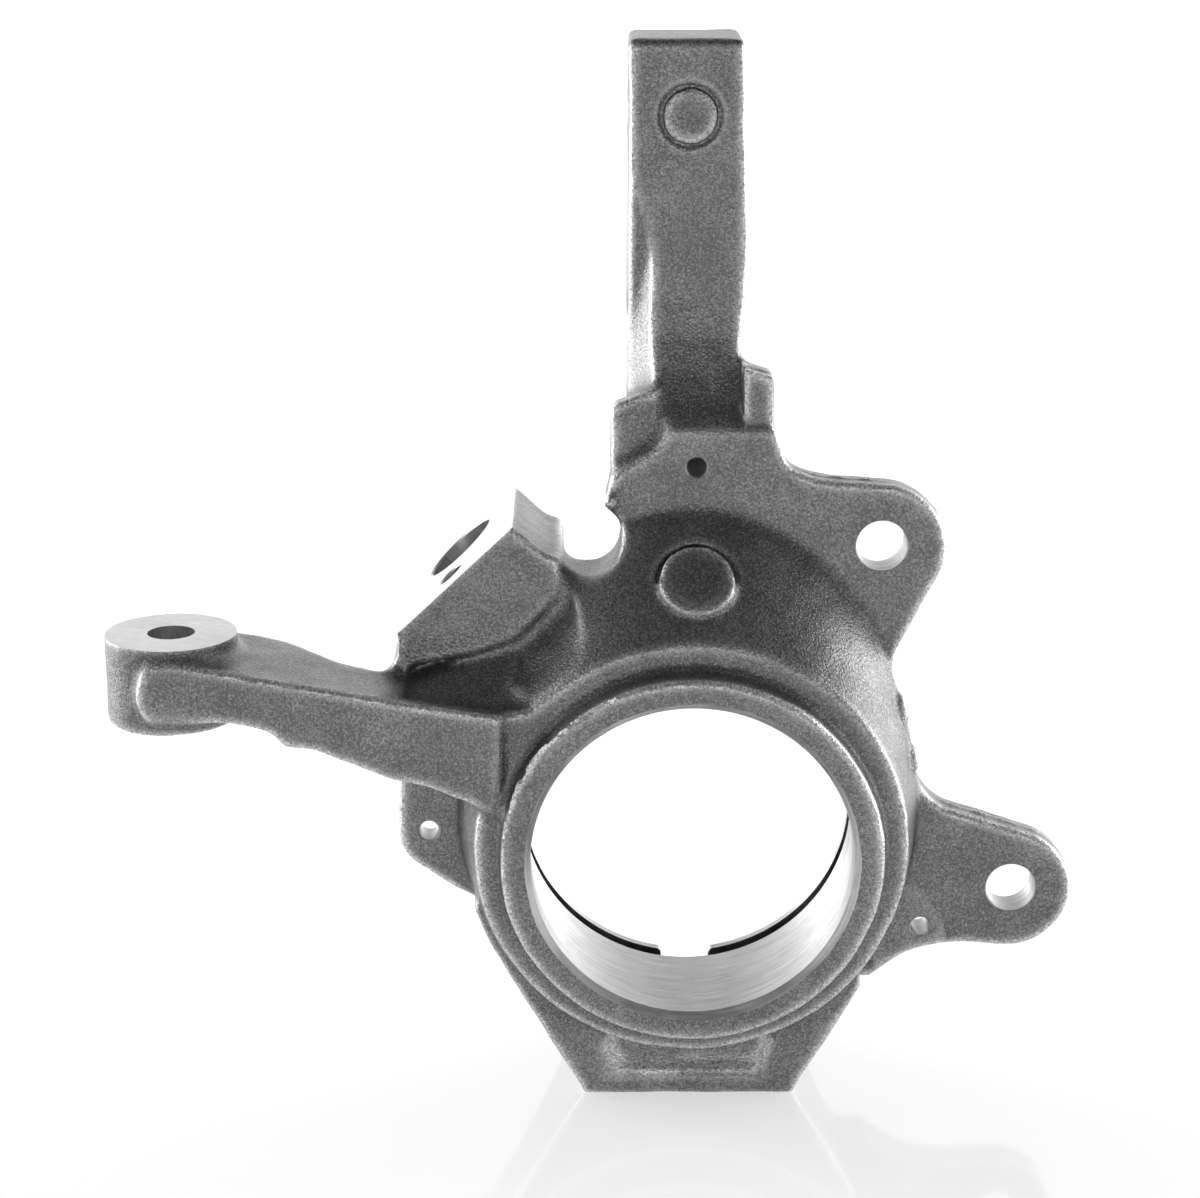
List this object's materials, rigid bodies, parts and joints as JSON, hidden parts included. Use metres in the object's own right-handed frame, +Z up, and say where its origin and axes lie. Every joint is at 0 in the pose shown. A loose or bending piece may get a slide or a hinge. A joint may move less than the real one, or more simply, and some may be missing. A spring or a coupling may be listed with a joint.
{
  "type": "steering knuckle",
  "caption": "Cast iron steering knuckle with a hub bearing bore, steering arm, strut tongue, caliper ears, sensor block and a ball stud foot.",
  "frame": {"origin": "on the hub bore's axis, halfway through the bearing seat", "axes": "+Y along the hub bore from the outboard lip to the inboard snap ring groove, +Z up along the strut tongue, -X along the steering arm"},
  "size_m": [0.242, 0.077, 0.2596],
  "materials": {
    "cast_iron": "as cast, with fine sand grain, and bright where it is machined"
  },
  "bodies": {
    "root": {"knuckle_casting": "cast_iron"}
  },
  "joints": []
}
